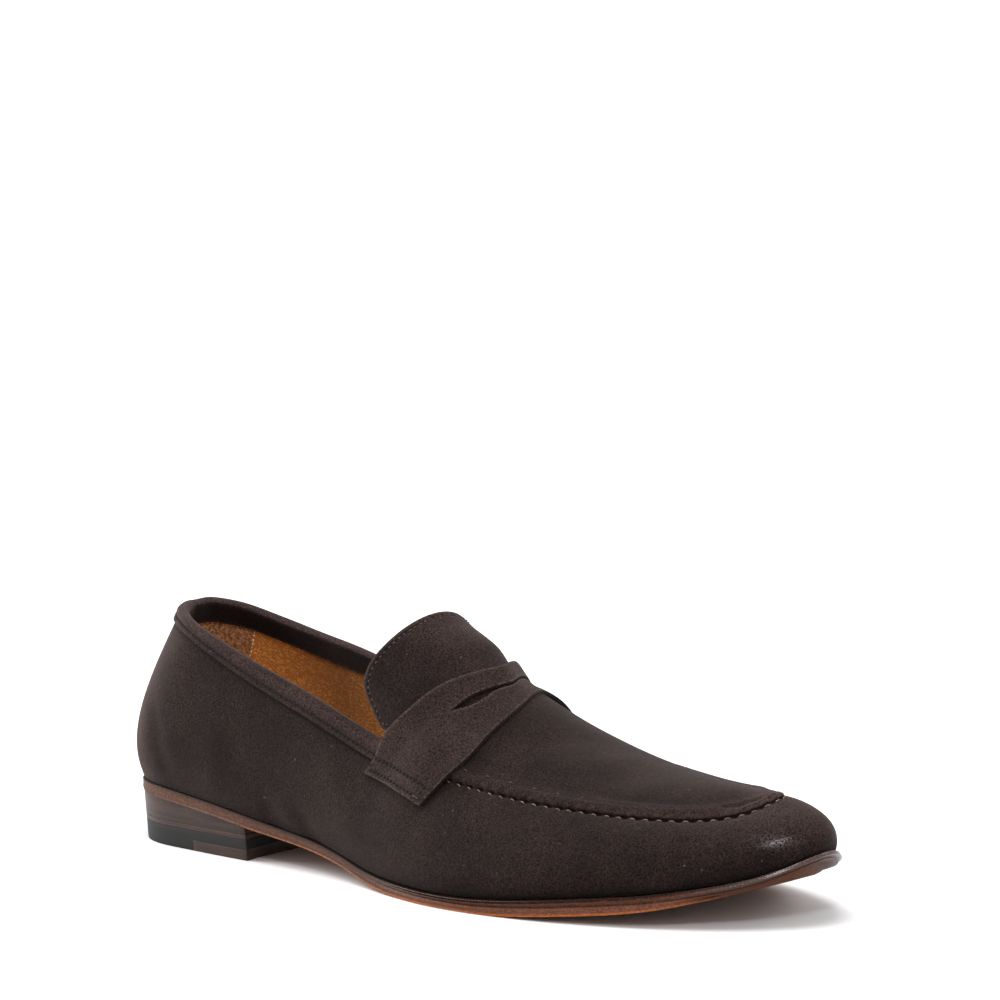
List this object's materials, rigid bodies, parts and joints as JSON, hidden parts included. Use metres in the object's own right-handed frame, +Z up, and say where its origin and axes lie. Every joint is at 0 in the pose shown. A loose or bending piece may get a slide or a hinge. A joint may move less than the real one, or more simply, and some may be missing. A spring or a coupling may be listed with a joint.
{
  "type": "loafer shoe",
  "caption": "Right-foot suede slip-on loafer with a raised apron seam, a slit saddle strap over the instep, a bound collar, a leather sole and a low stacked heel.",
  "frame": {"origin": "on the floor, under the middle of the shoe's bounding box", "axes": "+X from heel to toe, +Y towards the inner (medial) side of the foot, +Z up"},
  "size_m": [0.299, 0.098, 0.087],
  "materials": {
    "suede": "matte napped suede",
    "lining_leather": "smooth tan lining leather",
    "sole_leather": "waxed and burnished sole edge",
    "stacked_leather": "satin stacked leather",
    "heel_rubber": "matte"
  },
  "bodies": {
    "root": {"outsole": "sole_leather", "insole": "lining_leather", "heel_lift_wedge": "stacked_leather", "heel_lift_base": "stacked_leather", "heel_rubber": "heel_rubber", "heel_insert": "stacked_leather", "upper": "suede", "collar_binding": "suede", "tongue": "suede", "saddle_strap": "suede"}
  },
  "joints": []
}
